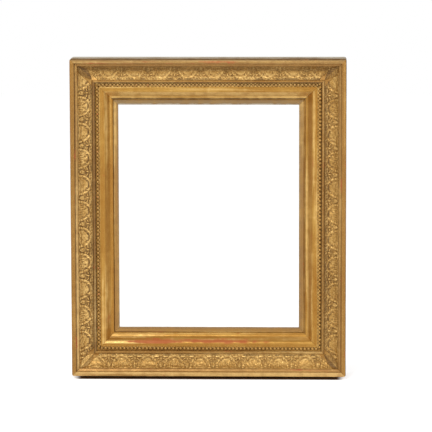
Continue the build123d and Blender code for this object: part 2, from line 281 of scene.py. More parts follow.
def cloud(along, inward, long, wide, seed):
    """Smooth random patches of 0 to 1: random values on a grid of long by wide cells, blended between the
    four corners of each cell."""
    columns, rows = 97, 89
    values = np.random.default_rng(seed).random((columns, rows))
    column, row = along / long, inward / wide
    left, low = np.floor(column).astype(int), np.floor(row).astype(int)
    right_share, up_share = column - left, row - low
    right_share = right_share**2 * (3 - 2 * right_share)
    up_share = up_share**2 * (3 - 2 * up_share)

    def blend(level):
        """Values on one line of the grid, blended between two columns."""
        first, second = values[left % columns, level % rows], values[(left + 1) % columns, level % rows]
        return first * (1 - right_share) + second * right_share

    return blend(low) * (1 - up_share) + blend(low + 1) * up_share


def give_values(mesh, shape, values):
    """Each value as an attribute of the mesh, one number for every point."""
    for key, value in values.items():
        attribute = mesh.attributes.new(key, "FLOAT", "POINT")
        attribute.data.foreach_set("value", np.broadcast_to(value, shape).astype(np.float32).ravel())


def swept(name, points, **values):
    """A closed tube through rings of points, stations first, with a flat cap on each end."""
    stations, around = points.shape[:2]
    index = np.arange(stations * around).reshape(stations, around)
    following = np.roll(index, -1, 1)
    quads = np.stack((index[:-1], index[1:], following[1:], following[:-1]), -1).reshape(-1, 4)
    corners = np.concatenate((quads.ravel(), index[0], index[-1, ::-1]))
    sizes = np.concatenate((np.full(len(quads), 4), (around, around)))
    mesh = bpy.data.meshes.new(name)
    mesh.vertices.add(stations * around)
    mesh.vertices.foreach_set("co", points.astype(np.float32).ravel())
    mesh.loops.add(len(corners))
    mesh.loops.foreach_set("vertex_index", corners.astype(np.int32))
    mesh.polygons.add(len(sizes))
    mesh.polygons.foreach_set("loop_start", (np.cumsum(sizes) - sizes).astype(np.int32))
    smooth = np.ones(len(sizes), bool)
    smooth[-2:] = False
    mesh.polygons.foreach_set("use_smooth", smooth)
    give_values(mesh, (stations, around), values)
    mesh.update(calc_edges=True)
    obj = bpy.data.objects.new(name, mesh)
    bpy.context.scene.collection.objects.link(obj)
    return obj


def gilding(name, leaf, deep, glow, base_roughness, shine, grain):
    """Gold leaf on bole. Broad noise moves the leaf between two golds. The leaf shade value gives each leaf
    its own shade and also paints shade, towards the deep gold, and highlights, towards the glow gold; the
    hollow value mixes in brown as grime and painted shade; dust greys the leaf, red bole shows where it is
    worn and painted sides have none."""
    dark_umber, light_umber, red_bole = colour(104, 74, 40), colour(130, 100, 62), colour(186, 96, 52)
    thin_dust, soil_and_shade_brown = colour(146, 122, 88), colour(72, 44, 14)
    broad_scale, mottle_scale, grit_scale = 8.0, 75.0, 420.0
    gold = Finish(name)
    broad = gold.noise(broad_scale, 3.0)
    mottle = gold.noise(mottle_scale, 4.0)
    grit = gold.noise(grit_scale, 3.0)
    # Painted light and shade: a leaf shade under 0.5 darkens towards the deep gold, over 0.5 lightens towards
    # the glow gold.
    shade = gold.attribute("leaf_shade")
    tone = gold.mix(gold.span(broad, 0.35, 0.65, 0.35, 1.0), deep, leaf)
    tone = gold.mix(gold.span(shade, 0.0, 0.5, 0.6, 0), tone, deep)
    tone = gold.mix(gold.span(shade, 0.5, 1.0, 0, 0.85), tone, glow)
    tone = gold.mix(gold.span(mottle, 0.4, 0.7, 0, 0.35), tone, deep)
    tone = gold.mix(gold.span(grit, 0.5, 0.66, 0, grain), tone, deep)
    tone = gold.mix(gold.span(grit, 0.34, 0.5, grain, 0), tone, glow)
    paint = gold.attribute("paint")
    umber = gold.mix(gold.span(mottle, 0.3, 0.7), dark_umber, light_umber)
    tone = gold.mix(paint, tone, umber)
    dust = gold.math("MULTIPLY", gold.attribute("dust"), gold.span(mottle, 0.25, 0.65, 0.7, 1.0))
    pale = gold.mix(gold.span(dust, 0.8, 1.5), thin_dust, thick_dust)
    tone = gold.mix(dust, tone, pale)
    # Grime and painted shade: the hollow value mixes in dark brown in grooves, crevices and under the beads.
    soil_and_shade = gold.math("MULTIPLY", gold.attribute("hollow"), gold.span(mottle, 0.25, 0.6, 0.7, 1.0))
    tone = gold.mix(soil_and_shade, tone, soil_and_shade_brown)
    rubbed = gold.math("ADD", gold.attribute("wear"), gold.math("MULTIPLY", mottle, 0.55))
    bole = gold.span(rubbed, 0.62, 0.95, 0, 0.85)
    tone = gold.mix(bole, tone, red_bole)
    bare = gold.math("MAXIMUM", gold.math("MAXIMUM", bole, paint), gold.math("MAXIMUM", soil_and_shade, dust))
    rough = gold.span(mottle, 0.3, 0.7, base_roughness - 0.06, base_roughness + 0.08)
    rough = gold.math("ADD", rough, gold.span(bare, 0, 1, 0, 0.28))
    surface = gold.math("ADD", gold.math("MULTIPLY", mottle, 1.4), gold.math("MULTIPLY", grit, 0.5))
    return gold.finish(
        Base_Color=tone,
        Metallic=gold.span(bare, 0, 1, 0.6, 0.05),
        Roughness=rough,
        Specular_IOR_Level=gold.span(paint, 0, 1, shine, 0.12),
        Normal=gold.bump(surface, 0.16 + 0.4 * grain, 0.0006),
    )


matt_gilding = gilding(
    "matt_gilding",
    leaf=colour(182, 139, 71),
    deep=colour(144, 98, 36),
    glow=colour(222, 183, 114),
    base_roughness=0.42,
    shine=0.5,
    grain=0.2,
)
burnished_gilding = gilding(
    "burnished_gilding",
    leaf=colour(191, 146, 70),
    deep=colour(154, 103, 35),
    glow=colour(221, 181, 108),
    base_roughness=0.36,
    shine=0.25,
    grain=0.1,
)

front_step = frame_depth - edge_step
cove_floor = frame_depth - cove_depth
cove_middle = cove_floor + cove_radius
cove_start = edge_width + edge_step_run + band_width
cove_top = front_step - band_slope - cove_lip
cove_centre = cove_start + math.sqrt(cove_radius**2 - (cove_top - cove_middle) ** 2)
cove_end = cove_centre + cove_rise_run
cove_first = math.degrees(math.atan2(cove_top - cove_middle, cove_start - cove_centre)) % 360
cove_last = math.degrees(-math.acos(cove_rise_run / cove_radius)) % 360
inner_fillet = cove_floor + inner_fillet_rise
outer_corners = np.vstack(
    (
        (0, rebate_depth),
        arc((arris_radius, frame_depth - arris_radius), arris_radius, 180, 90),
        (edge_width, frame_depth),
        (edge_width + edge_step_run, front_step),
        (cove_start, front_step - band_slope),
        arc((cove_centre, cove_middle), cove_radius, cove_first, cove_last, 60),
        (cove_end, inner_fillet),
        (outer_width, inner_fillet),
        (outer_width, rebate_depth),
    )
)
profile_step = 0.55
gesso_spread = 0.4
arris_spread = 1.5
station_step = 3.0
mitre_stations = np.array((0, 0.8, 1.6, 2.4, 3.4, 4.6))
mitre_zone = 6
slow_wave, slow_length = 0.1, 160
quick_wave, quick_length = 0.05, 24
knock_size, knock_width, knock_depth = (1.2, 4.0), (0.8, 1.6), (0.15, 0.55)
arris_relief, wear_relief, wear_length = 0.12, 0.3, 210
flat_normal = 0.985
mitre_gap = 0.05
# Cells of the random patches, along and across: settled dust, long and short streaks, rubbed leaf.
dust_patch, long_streak, short_streak, rubbed_patch = (34, 9), (190, 3.4), (26, 1.5), (38, 2.2)

# Worn places: side, middle along, distance inward, half length, half width and strength.
worn_places = (
    ("left", -128, 10, 14, 2.0, 0.6),
    ("left", 252, 10, 20, 2.2, 0.6),
    ("left", 60, 10, 30, 1.5, 0.3),
    ("right", 66, 10, 18, 2.0, 0.6),
    ("bottom", 205, 12, 55, 2.6, 0.42),
    ("bottom", -70, 12, 50, 1.8, 0.22),
    ("top", -20, 5, 48, 1.6, 0.42),
    ("top", 120, 5, 26, 1.4, 0.3),
    ("top", 0, 7, 240, 2.6, 0.26),
    ("bottom", -20, 69, 165, 8.0, 0.5),
    ("bottom", -114, 67, 50, 2.6, 0.4),
    ("bottom", 10, 68, 60, 1.6, 0.25),
    ("left", 202, 72, 22, 5.0, 0.4),
    ("left", 60, 74, 130, 5.0, 0.2),
    ("right", 40, 68, 170, 4.5, 0.28),
)

# How far round the outer arris the paint comes, and how much painted light and painted shade with grime each
# part of a side carries.
painted_from = {"bottom": 0.99, "right": 0.7, "top": 0.03, "left": 0.9}
paint_fade = 0.12
dust_reach = 48.0
dust_fade = 12.0
streaks = {"bottom": 1.4, "right": 1.7, "top": 1.1, "left": 2.1}
# Painted light on the front edge and the band; values under 0 are painted shade.
edge_bright = {"bottom": 0.6, "right": -0.22, "top": 0.3, "left": -0.6}
edge_dust = {"bottom": 0.1, "right": 0.0, "top": 0.25, "left": 0.0}
band_bright = {"bottom": -0.7, "right": 0.0, "top": -0.6, "left": 0.1}
# Painted shade with grime in the step, on the fillet, at its inner rim and along the seam.
step_shade_and_soil = {"bottom": 0.1, "right": 0.3, "top": 0.2, "left": 0.6}
fillet_shade_and_soil = {"bottom": 0.15, "right": 0.2, "top": 0.05, "left": 0.4}
rim_shade_and_soil = {"bottom": 0.0, "right": 0.1, "top": 0.8, "left": 0.22}
seam_shade_and_soil = {"bottom": 0.25, "right": 0.35, "top": 0.05, "left": 0.55}


def bands(inward, *zones):
    """Sum of the zones at each place: from, to and value, with edges half a millimetre soft."""
    total = np.zeros_like(inward)
    for start, stop, value in zones:
        inside = np.clip(np.minimum(inward - start, stop - inward) / 0.5 + 0.5, 0, 1)
        total = total + value * inside
    return total


def gilded_length(name, side, corners, gold, zones, dents):
    """A mitred moulding: its gessoed outline carried along the side, each line ending on the mitres, with
    a slight ripple and a few knocks on its arrises. Zones give painted shade with grime, dust, and painted
    light across it."""
    length = side_length[side]
    seed = side_seed[side] + len(name)
    outline = gessoed(corners, profile_step, gesso_spread)
    normal = outward(outline)
    relief = roundness(outline, arris_spread / profile_step)
    ends = length / 2 - mitre_stations
    run = np.linspace(mitre_zone - length / 2, length / 2 - mitre_zone, int(length / station_step))
    share = np.concatenate((-ends, run, ends[::-1]))[:, None] / (length / 2)
    inward = np.broadcast_to(outline[:, 0], (len(share), len(outline)))
    gap = np.where(share < 0, *zones["gaps"])
    along = share * (length / 2 - inward - gap)
    lift = slow_wave * ripple(along + 3 * inward, slow_length, seed)
    lift = lift + quick_wave * ripple(along - 5 * inward, quick_length, seed + 1)
    wear = np.clip(relief / wear_relief, 0, 1) * (0.16 + 0.16 * ripple(along, wear_length, seed + 2))
    rng = np.random.default_rng(seed)
    arrises = np.flatnonzero((relief > arris_relief) & (outline[:, 1] > rebate_depth + 3))
    for knock in rng.choice(arrises, dents):
        middle = rng.uniform(-0.46, 0.46) * length
        size = rng.uniform(*knock_size)
        across = np.hypot(*(outline - outline[knock]).T)
        mark = np.exp(-(((along - middle) / size) ** 2) - (across / rng.uniform(*knock_width)) ** 2)
        lift = lift - rng.uniform(*knock_depth) * mark
        wear = wear + 0.5 * mark
    for where, middle, line, half_length, half_width, strength in worn_places:
        if where == side:
            far = np.abs(along - middle) / half_length
            wear = wear + strength * np.exp(-(far**4) - ((inward - line) / half_width) ** 2)
    lift = np.minimum(lift, np.where(np.abs(normal).max(1) > flat_normal, 0, lift))
    forward = np.minimum(outline[:, 1] + lift * normal[:, 1], frame_depth)
    points = worn_round(on_side(side, along, np.maximum(inward + lift * normal[:, 0], 0), forward))
    turned_away = np.clip((-normal[:, 0] - painted_from[side]) / paint_fade, 0, 1)
    turned_away = turned_away * (outline[:, 0] < arris_radius)
    behind = (outline[:, 1] < rebate_depth + 1).astype(float)
    lying = (outline[:, 0] < 0.8) & (side == "top")
    drift = 0.6 + 0.8 * cloud(along, outline[:, 1] + 0 * along, *dust_patch, seed + 6)
    settled = 1.5 * drift * np.clip((dust_reach - outline[:, 1]) / dust_fade, 0, 1)
    streak = 0.75 * cloud(along, inward, *long_streak, seed + 3)
    streak = streak + 0.25 * cloud(along, inward, *short_streak, seed + 4)
    # Each leaf's own shade and the streaks, plus the zones' painted light and painted shade.
    shade = 0.25 + 0.25 * gold_leaves(along, seed) + streaks[side] * (streak - 0.5)
    shade = shade + bands(inward, *zones["painted_light"])
    wear = wear + 0.5 * np.clip(cloud(along, inward, *rubbed_patch, seed + 5) - 0.62, 0, 1)
    obj = swept(
        name,
        points,
        hollow=bands(inward, *zones["soil_and_shade"]),
        dust=np.where(lying, settled, bands(inward, *zones["dust"])),
        wear=wear,
        leaf_shade=np.clip(shade, 0, 1),
        paint=np.maximum(turned_away, behind),
    )
    obj.data.materials.append(gold)
    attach(obj, "frame")
    return obj


for side in side_axes:
    zones = {
        "gaps": (mitre_gap, mitre_gap),
        # Painted light on the edge and band; painted shade with grime in the grooves and on the fillet.
        "painted_light": [(0, edge_width, edge_bright[side]), (edge_width + 1, cove_start + 1, band_bright[side])],
        "soil_and_shade": [
            (edge_width - 0.4, edge_width + 1.6, step_shade_and_soil[side]),
            (cove_end - 0.4, cove_end + 0.6, seam_shade_and_soil[side]),
            (cove_end, outer_width + 1, fillet_shade_and_soil[side]),
            (outer_width - 1.4, outer_width + 1, rim_shade_and_soil[side]),
        ],
        "dust": [(0, edge_width, edge_dust[side]), (edge_width + 1.5, cove_start, 0.15)],
    }
    moulding = gilded_length(f"gilded_cove_{side}", side, outer_corners, matt_gilding, zones, dents=9)
    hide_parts(f"outer_moulding_{side}")

# Palmette strips: composition of whiting, glue and resin, pressed warm in a mould, bent into the cove and
# glued, then gilded with the wood. Ribbed and smooth bosses take turns in tall arches with leafy rims.
palmette_pitch = 52.3
strip_ground = 1.0
strip_margin = 0.8
strip_step = 0.55
strip_rows = 70
strip_taper = 2.0
strip_sunk = 0.2
under_stride = 5
strip_room = 10.9
strip_height = math.radians(cove_last - cove_first) * cove_radius - 2 * strip_margin
palmette_shift = {"bottom": 35.0, "right": 8.0, "top": -12.0, "left": -13.5}
motif_foot = 5
egg_half_width, egg_rise = 13.4, 18.4
shell_half_width, shell_rise, rim_share, rim_lobes = 18.6, 24.4, 0.11, 17
rib_pitch, rib_end = 4.4, 17
fan_lobes, fan_start = 14, 13
slit_half_length, slit_line, slit_half_width = 8.5, 25.8, 1.4
tongues, tongue_line, tongue_reach = 9, 30.6, 2.6
leaf_points = 22
crest_spread = 2.2
uneven_least, uneven_range = 0.75, 0.5
rough_height = 0.85
seam_line, seam_half_width = 1.6, 1.3
wall_end, wall_fade = 18, 6
border_start, border_fade = 26, 3
# Cells of the random patches, along and across: height, roughness, tone, dashes of the seam, broken slits.
uneven_patch, rough_patch, tone_patch = (7, 5), (3.4, 2.9), (19, 6)
dash_patch, slit_patch = (8, 1), (4.5, 3.2)
# How much painted shade the ornament has on each side, with grime along its border and in its slits, and how
# strongly its carving is painted light and dark.
wall_painted_shade = {"bottom": 0.0, "right": 0.0, "top": 0.45, "left": 0.0}
border_shade_and_soil = {"bottom": 0.0, "right": 0.4, "top": 0.05, "left": 0.3}
contrast = {"bottom": 0.42, "right": 0.6, "top": 0.5, "left": 0.85}
slit_shade_and_soil = {"bottom": 0.35, "right": 0.9, "top": 0.25, "left": 1.0}
# Painted light and shade of the leaf at five places from a strip's outer edge to its inner one.
tone_places = (2, 9, 16, 22, 31)
strip_painted_light = {
    "bottom": (0.62, 0.58, 0.5, 0.72, 1.05),
    "right": (0.72, 0.66, 0.52, 0.5, 0.6),
    "top": (0.66, 0.5, 0.4, 0.85, 0.8),
    "left": (0.9, 0.84, 0.72, 0.9, 0.72),
}


def spine(start, bend, end):
    """A curved line of points: a quadratic blend of start, bend and end."""
    share = np.linspace(0, 1, leaf_points)[:, None]
    start, bend, end = np.array(start), np.array(bend), np.array(end)
    return (1 - share) ** 2 * start + 2 * share * (1 - share) * bend + share**2 * end


def bud_width(thin, thick):
    """Half widths of a leaf: thin at both ends and thick past its middle."""
    return thin + (thick - thin) * np.sin(np.pi * np.linspace(0, 1, leaf_points) ** 1.4)


def ridge(x, y, line, width, height):
    """A round ridge: the highest of the domes that stand along the line, each of its own half width."""
    far = ((x[..., None] - line[:, 0]) ** 2 + (y[..., None] - line[:, 1]) ** 2) / width**2
    return height * np.sqrt(np.clip(1 - far, 0, 1).max(-1))


def palmette_relief(along, across):
    """Height of the ornament: along in millimetres from a motif's middle, across from the strip's outer edge.
    Each motif is an egg in a shell: a boss, a hollow round it and a tall arch with a leafy rim. By turns the
    boss is smooth, or has upright ribs under a short fan; curled leaf tips and a bud with two leaves fill the
    gaps and a row of small tongues edges the strip. With it comes the share of the slit over each boss, which
    takes painted shade and grime."""
    turn = np.round(along / palmette_pitch)
    ribbed = turn % 2 == 0
    x = np.abs(along - turn * palmette_pitch)
    y = across
    edge = palmette_pitch / 2
    rise = np.maximum(y - motif_foot, 0)
    egg = np.hypot(x / egg_half_width, rise / egg_rise)
    shell = np.hypot(x / shell_half_width, rise / shell_rise)
    lean = np.arctan2(x, np.maximum(y - 1, 0.1))
    dome = np.sqrt(np.clip(1 - egg**2, 0, 1))
    rim = np.sqrt(np.clip(1 - ((shell - 1) / rim_share) ** 2, 0, 1)) * (0.95 + 0.5 * np.cos(rim_lobes * lean))
    ribs = (0.4 + 0.35 * np.cos(2 * np.pi * x / rib_pitch)) * np.clip((rib_end - y) / 3, 0, 1)
    fan = (0.5 + 0.35 * np.cos(fan_lobes * lean)) * np.clip((y - fan_start) / 3, 0, 1)
    boss = np.where(ribbed, ribs + fan, 0.3 + 0.5 * dome) * np.clip(dome * 3, 0, 1)
    motif = np.maximum(boss, rim)
    for start, bend, end, thick, height in (
        ((11.0, 26.4), (16.0, 29.4), (21.8, 27.6), 1.9, 2.3),
        ((16.4, 19.6), (19.8, 24.0), (23.0, 23.4), 1.6, 2.0),
        ((edge, 3.0), (edge, 9.0), (edge, 17.0), 2.5, 2.2),
        ((edge - 0.6, 4.0), (edge - 4.4, 9.0), (edge - 2.6, 17.6), 1.2, 1.7),
        ((edge, 20.6), (edge, 22.6), (edge, 26.0), 1.9, 2.1),
        ((8.4, 19.0), (10.6, 22.6), (9.6, 25.4), 1.3, 1.9),
    ):
        motif = np.maximum(motif, ridge(x, y, spine(start, bend, end), bud_width(0.5, thick), height))
    slant = np.cos(2 * np.pi * ((along + 0.7 * y) / palmette_pitch * tongues))
    border = (0.65 + 0.45 * slant) * np.clip(1 - ((y - tongue_line) / tongue_reach) ** 4, 0, 1)
    ledge = 0.9 * np.clip((y - strip_height + 1.4) / 0.6, 0, 1)
    below = y - slit_line + 0.03 * x**2
    slit = np.exp(-((x / slit_half_length) ** 4) - (below / slit_half_width) ** 2)
    return np.maximum(np.maximum(motif * np.clip((y - 0.8) / 4, 0, 1), border), ledge), slit


composition_gilding = gilding(
    "composition_gilding",
    leaf=colour(186, 144, 75),
    deep=colour(150, 107, 42),
    glow=colour(225, 186, 114),
    base_roughness=0.44,
    shine=0.5,
    grain=0.42,
)

for side in side_axes:
    length = side_length[side]
    seed = side_seed[side]
    across = np.linspace(0, strip_height, strip_rows)
    angle = np.radians(cove_first) + (across + strip_margin) / cove_radius
    cove_inward = cove_centre + cove_radius * np.cos(angle)
    share = np.linspace(-1, 1, int(length / strip_step))[:, None]
    along = share * (length / 2 - strip_room - cove_inward)
    end_fade = np.clip((1 - np.abs(share)) * length / 2 / strip_taper, 0, 1)
    edge_fade = np.clip(np.minimum(across, strip_height + strip_taper - across) / strip_taper, 0, 1)
    rows = np.broadcast_to(across, along.shape)
    relief, slit = palmette_relief(along - palmette_shift[side], rows)
    relief = relief * (uneven_least + uneven_range * cloud(along, rows, *uneven_patch, seed + 6))
    relief = relief + rough_height * (cloud(along, rows, *rough_patch, seed + 8) - 0.5)
    height = (strip_ground + relief) * np.sqrt(end_fade) * np.sqrt(edge_fade)
    radius = cove_radius - height
    under = angle[::-under_stride]
    all_angles = np.broadcast_to(np.concatenate((angle, under)), (len(share), len(angle) + len(under)))
    all_radii = np.concatenate((radius, np.full((len(share), len(under)), cove_radius + strip_sunk)), 1)
    under_along = share * (length / 2 - strip_room - cove_inward[::-under_stride])
    points = on_side(
        side,
        np.concatenate((along, under_along), 1),
        cove_centre + all_radii * np.cos(all_angles),
        cove_middle + all_radii * np.sin(all_angles),
    )
    blank = np.zeros((len(share), len(under)))
    patches = cloud(along, rows, *tone_patch, seed + 7)
    nearby = blurred(relief, crest_spread / strip_step)
    nearby = blurred(nearby.T, crest_spread * len(across) / strip_height).T
    crest = relief - nearby
    # Painted shade with grime in the crevices, from how far each point sinks below its surroundings; the
    # slits take the same, and the seam's dashes are a dark joint.
    dirt_and_shade = 0.8 * contrast[side] * np.clip(-crest / 0.6, 0, 1)
    dashes = np.clip(3 * cloud(along, 0 * along, *dash_patch, seed + 9) - 1.0, 0, 1)
    seam = dashes * np.exp(-(((rows - strip_height + seam_line) / seam_half_width) ** 2))
    broken = np.clip(0.4 + 1.6 * cloud(along, rows, *slit_patch, seed + 10), 0, 1)
    dirt_and_shade = np.maximum(dirt_and_shade, np.maximum(slit * broken * slit_shade_and_soil[side], 0.85 * seam))
    # Painted light: lighter on crests and higher relief, with random patches of tone, over the strip's
    # painted light and shade across the cove.
    carved = 0.55 * crest + 0.1 * (relief - 1.0) + 0.5 * (patches - 0.5)
    lit = np.interp(across, tone_places, strip_painted_light[side]) + contrast[side] * carved
    # Painted shade on the top's cove wall, and painted shade with grime along the inner border.
    wall = wall_painted_shade[side] * np.clip((wall_end - across) / wall_fade, 0, 1)
    wall = wall + border_shade_and_soil[side] * np.clip((across - border_start) / border_fade, 0, 1)
    strip = swept(
        f"palmettes_{side}",
        points,
        hollow=np.concatenate((np.maximum(dirt_and_shade, wall), blank), 1),
        wear=np.concatenate((np.clip(relief / 2.6 - 0.9, 0, 1) * 1.2, blank), 1),
        leaf_shade=np.concatenate((np.clip(lit, 0, 1), blank), 1),
        dust=0.0,
        paint=0.0,
    )
    strip.data.materials.append(composition_gilding)
    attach(strip, "frame")
    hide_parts(f"palmette_strip_{side}")

# Corner leaves: a plain pointed leaf of the same composition laid over each mitre of the cove, with a raised
# midrib and shallow veins, covering the ends of the two strips that meet there.
leaf_half_width = 7.4
leaf_stations, leaf_span_points = 90, 41
leaf_bulge, leaf_midrib, leaf_vein = 2.9, 0.3, 0.9
leaf_edge, leaf_sunk = 0.25, 0.3
leaf_start, leaf_short = 1.0, 2.2
veins_along, vein_lean = 7, 1.6
mitre_softening = 0.6
corner_sides = {
    "bottom_left": ((-frame_width / 2, 0), (1, 1)),
    "bottom_right": ((frame_width / 2, 0), (-1, 1)),
    "top_left": ((-frame_width / 2, frame_height), (1, -1)),
    "top_right": ((frame_width / 2, frame_height), (-1, -1)),
}
# Painted light and painted shade of each corner's leaf: the top corners are darker.
leaf_bright = {"bottom_left": 0.85, "bottom_right": 0.3, "top_left": 0.2, "top_right": 0.3}
leaf_painted_shade = {"bottom_left": 0.0, "bottom_right": 0.3, "top_left": 0.4, "top_right": 0.25}


def cove_height(inward):
    """Forward height of the cove's surface at that distance from the outer edge."""
    return cove_middle - np.sqrt(np.clip(cove_radius**2 - (inward - cove_centre) ** 2, 1e-6, None))


def corner_leaf(place, corner, signs):
    """A leaf on the fold of two coves: at each place the nearer outer edge gives the cove under it, softened
    at the mitre; over that stand a bulge, a midrib and slanting veins."""
    run = np.linspace(0, 1, leaf_stations)[:, None]
    over = np.linspace(-1, 1, leaf_span_points)
    span = np.concatenate((over, np.linspace(1, -1, leaf_span_points)))[None, :]
    top = np.concatenate((np.ones(leaf_span_points), np.zeros(leaf_span_points)))[None, :]
    middle = cove_start + leaf_start + run * (cove_end - cove_start - leaf_short)
    half = leaf_half_width * np.sin(np.pi * run**0.85) ** 0.8 + leaf_edge
    sideways = span * half / math.sqrt(2)
    nearest = middle - np.sqrt(sideways**2 + mitre_softening)
    nearest = nearest + math.sqrt(mitre_softening) * (1 - np.abs(span))
    bulge = leaf_bulge * (1 - np.abs(span)) ** 0.85 * np.sin(np.pi * run**0.8) ** 0.5
    rib = leaf_midrib * np.exp(-((span * half / 0.6) ** 2)) * (1 - run**3)
    slant = run * veins_along - np.abs(span) * vein_lean
    wave = np.cos(2 * np.pi * slant) * np.abs(span) * (1 - np.abs(span))
    thickness = top * (leaf_edge + bulge + rib + leaf_vein * wave) - (1 - top) * leaf_sunk
    forward = cove_height(np.clip(nearest, cove_start, None)) + thickness
    x = corner[0] + signs[0] * (middle + sideways)
    z = corner[1] + signs[1] * (middle - sideways)
    points = np.stack((x, back_y - forward, z), -1) * MM
    # Painted shade on the half over a top or bottom cove, painted light on the veins' ridges and painted
    # shade between them.
    flat_side = np.clip(span * 6, 0, 1)
    soil_and_shade = leaf_painted_shade[place] + 0.25 * flat_side + np.clip(-1.2 * wave, 0, 1)
    shade = top * (leaf_bright[place] - 0.25 * flat_side + 1.2 * wave)
    if signs[0] * signs[1] > 0:
        points, soil_and_shade, shade = points[:, ::-1], soil_and_shade[:, ::-1], shade[:, ::-1]
    soil_and_shade, shade = np.clip(soil_and_shade, 0, 0.9), np.clip(shade, 0, 1)
    leaf = swept(f"leaf_{place}", points, hollow=soil_and_shade, dust=0.0, wear=0.0, leaf_shade=shade, paint=0.0)
    leaf.data.materials.append(composition_gilding)
    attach(leaf, "frame")
    return leaf


for place, (corner, signs) in corner_sides.items():
    leaf = corner_leaf(place, corner, signs)
    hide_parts(f"corner_leaf_{place}")

# Sight mouldings: four mitred lengths glued inside the outer ones, with a bed for the beads, a burnished ogee
# and a flat band whose inner edge frames the picture. Hidden behind them is the bare face of the rebate.
bead_bed_width = 8.0
bead_bed_drop = 1.5
shoulder_width = 5.5
ogee_run = 19.1
ogee_drop = 15.0
ogee_angle = 52.0
ridge_width = 1.5
groove_width = 1.5
groove_depth = 1.5
ridge_rise = 1.0
sight_slope = 1.5
sight_edge_thickness = 6.0
sight_width = (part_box("sight_moulding_bottom")[1].z) / MM

sight_edge = rebate_depth + sight_edge_thickness
sight_band = sight_edge + sight_slope
ridge_height = sight_band + ridge_rise
shoulder = ridge_height + ogee_drop
bead_bed = shoulder - bead_bed_drop
bead_bed_end = outer_width + bead_bed_width
ogee_start = bead_bed_end + shoulder_width
ogee_end = ogee_start + ogee_run
groove_start = ogee_end + ridge_width
band_start = groove_start + groove_width
ogee_slope = math.radians(ogee_angle)
ogee_flat = ogee_drop / math.tan(ogee_slope / 2) - ogee_run
ogee_radius = (ogee_run - ogee_flat * math.cos(ogee_slope)) / (2 * math.sin(ogee_slope))
sight_corners = np.vstack(
    (
        (outer_width, rebate_depth),
        (outer_width, bead_bed),
        (bead_bed_end, bead_bed),
        (bead_bed_end, shoulder),
        arc((ogee_start, shoulder - ogee_radius), ogee_radius, 90, 90 - ogee_angle),
        arc((ogee_end, ridge_height + ogee_radius), ogee_radius, 270 - ogee_angle, 270),
        (groove_start, ridge_height),
        (groove_start, sight_band - groove_depth),
        (band_start, sight_band - groove_depth),
        (band_start, sight_band),
        (sight_width, sight_edge),
        (sight_width, rebate_depth),
    )
)
# Painted shade with grime on the bead bed and at the groove, and stripes of painted light and shade on the
# ogee: from, to and strength on each side.
bed_shade_and_dirt = {"bottom": (1.5, 5.5, 0.45), "right": (-0.6, 1.4, 0.8), "top": (0, 1, 0.0), "left": (0, 4, 0.1)}
groove_shade_and_dirt = {
    "bottom": (0.8, 2.4, 0.4),
    "right": (-2.4, -0.4, 0.7),
    "top": (-3.2, -0.2, 0.8),
    "left": (0.0, 1.5, 0.5),
}
stripes = {
    "bottom": [],
    "right": [(6.5, 11.5, -0.4), (12.5, 17, 0.35)],
    "top": [],
    "left": [(4, 9.5, 0.25), (10.5, 14, -0.15)],
}
# Painted shade with grime in the groove; dust on the sight band, heavier at the top, where it is also painted
# shade.
groove_shade_and_soil = {"bottom": 0.0, "right": 0.05, "top": 0.25, "left": 0.15}
band_dust_and_shade = {"bottom": 0.35, "right": 0.45, "top": 0.85, "left": 0.35}
# Painted light on the shoulder, the ogee, the bed's arris and the bed's inner part; values under 0 are
# painted shade.
shoulder_bright = {"bottom": 0.16, "right": -0.05, "top": 0.15, "left": 0.12}
ogee_bright = {"bottom": 0.18, "right": 0.0, "top": 0.8, "left": -0.12}
arris_bright = {"bottom": 0.4, "right": 0.6, "top": 0.1, "left": 0.7}
bright_bed = {"bottom": 4.0, "right": 3.0, "top": 0.0, "left": 4.0}
open_mitre, tight_mitre = 0.22, 0.1
# Painted light on the bed's inner part and the shoulder's rounding.
bed_glow, shoulder_glow = 0.7, 0.2
shoulder_round, arris_zone = 5, 1.5
inner_edge_dust, inner_edge_width = 0.3, 3


def moved(zone, distance):
    """A zone of from, to and strength, moved inward."""
    start, stop, value = zone
    return (distance + start, distance + stop, value)


for side in side_axes:
    zones = {
        "gaps": (open_mitre if side in ("top", "left") else tight_mitre, tight_mitre),
        # Painted light across the bed, shoulder and ogee; below, painted shade with grime on the bed and at
        # the groove.
        "painted_light": [
            (outer_width + bright_bed[side], bead_bed_end, bed_glow),
            (bead_bed_end, ogee_start, shoulder_bright[side]),
            (ogee_start, ogee_start + shoulder_round, shoulder_bright[side] + shoulder_glow),
            (ogee_start + shoulder_round, groove_start, ogee_bright[side]),
            (bead_bed_end - arris_zone, bead_bed_end + arris_zone, arris_bright[side]),
            *(moved(stripe, ogee_start) for stripe in stripes[side]),
        ],
        "soil_and_shade": [
            moved(bed_shade_and_dirt[side], outer_width),
            moved(groove_shade_and_dirt[side], groove_start),
            (groove_start, band_start, groove_shade_and_soil[side]),
        ],
        "dust": [
            (band_start, sight_width + 1, band_dust_and_shade[side]),
            (sight_width - inner_edge_width, sight_width + 1, inner_edge_dust),
        ],
    }
    moulding = gilded_length(f"gilded_ogee_{side}", side, sight_corners, burnished_gilding, zones, dents=6)
    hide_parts(f"sight_moulding_{side}")

# Bead strings: small round beads of the same composition, pressed in a mould in lengths on a thin thread.
# They are glued on their bed, mitred at the corners and gilded with the rest; their tops have worn to bole.
bead_pitch = 7.5
bead_radius = 3.45
bead_lift = 1.5
bead_end_gap = 1.2
place_spread, size_spread, line_spread = 0.12, 0.035, 0.1
thread_half_width, thread_height, thread_sunk = 1.1, 1.3, 0.1
bead_shift = {"bottom": 1.2, "right": -0.5, "top": -0.3, "left": 0.4}
